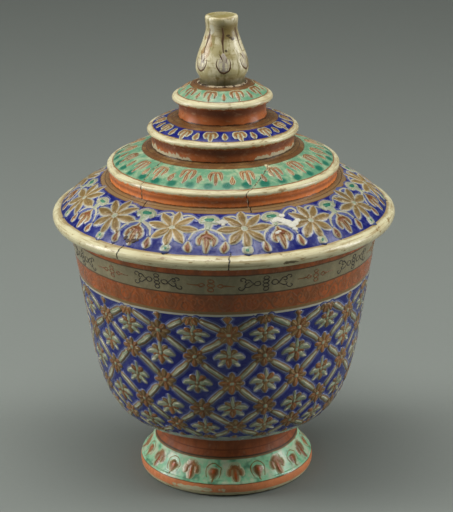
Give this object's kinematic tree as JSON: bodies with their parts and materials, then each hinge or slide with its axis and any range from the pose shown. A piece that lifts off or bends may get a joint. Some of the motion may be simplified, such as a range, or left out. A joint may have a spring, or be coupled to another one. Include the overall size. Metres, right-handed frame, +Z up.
{
  "type": "lidded jar",
  "caption": "Round footed porcelain bowl with a straight outward-leaning wall and a lift-off stepped lid ending in a bud knop, covered in overglaze enamels.",
  "frame": {"origin": "centre of the circle that the foot stands on, on the table surface", "axes": "+Z up along the turning axis, -Y towards the pictured front, +X to the viewer's right"},
  "size_m": [0.146, 0.146, 0.2023],
  "materials": {
    "bowl_enamel": "cobalt ground with an enamelled lattice, iron-red and cream bands, cream glaze inside",
    "foot_enamel": "leaf-green ground with iron-red leaves, iron-red neck and base",
    "brim_enamel": "cobalt ground with gilt-brown flowers and a cream rolled rim",
    "flange_glaze": "thin cream glaze",
    "lower_tier_enamel": "leaf-green roof, iron-red riser, cream rolled rim",
    "middle_tier_enamel": "cobalt roof, iron-red riser, cream rolled rim",
    "upper_tier_enamel": "leaf-green roof, iron-red riser, cream rolled rim",
    "filler": "matt, pinkish, uneven",
    "knop_glaze": "worn cream glaze with painted lotus petals"
  },
  "bodies": {
    "jar": {"bowl": "bowl_enamel", "foot_ring": "foot_enamel"},
    "lid": {"lid_brim": "brim_enamel", "lid_flange": "flange_glaze", "lid_lower_tier": "lower_tier_enamel", "lid_middle_tier": "middle_tier_enamel", "lid_upper_tier": "upper_tier_enamel", "knop_bedding": "filler", "bud_knop": "knop_glaze"}
  },
  "joints": [
    {"name": "lid_lift", "type": "slide", "parent": "jar", "child": "lid", "axis": [0, 0, 1], "range_m": [0, 0.08]}
  ]
}
